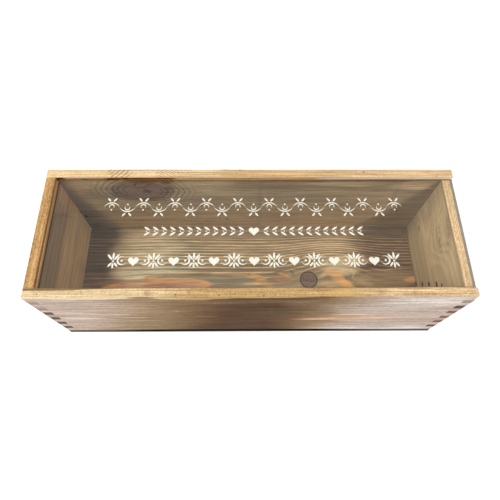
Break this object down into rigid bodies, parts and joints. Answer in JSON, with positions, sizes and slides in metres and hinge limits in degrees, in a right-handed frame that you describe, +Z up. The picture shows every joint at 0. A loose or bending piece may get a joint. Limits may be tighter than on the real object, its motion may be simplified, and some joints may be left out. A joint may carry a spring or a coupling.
{
  "type": "wooden wine box",
  "caption": "Finger-jointed pine box for a bottle, with a clear lid that slides out along grooves in the walls.",
  "frame": {"origin": "centre of the underside, on the surface that the box stands on", "axes": "+X along the box, the way the lid slides out, +Y from the front board to the back board, +Z up"},
  "size_m": [0.35, 0.116, 0.106],
  "materials": {
    "stained_pine": "brushed pine with a thin grey-brown stain, bare honey colour on the rims",
    "base_pine": "brushed pine with a dark brown stain",
    "brad_steel": "bright wire",
    "clear_acrylic": "clear and glossy",
    "white_print": "satin white ink"
  },
  "bodies": {
    "box": {"front_board": "stained_pine", "back_board": "stained_pine", "left_end_board": "stained_pine", "right_end_board": "stained_pine", "base_board": "base_pine", "base_brads": "brad_steel"},
    "lid": {"sliding_lid": "clear_acrylic", "lid_print": "white_print"}
  },
  "joints": [
    {"name": "lid_slide", "type": "slide", "parent": "box", "child": "lid", "axis": [1, 0, 0], "range_m": [0, 0.35]}
  ]
}
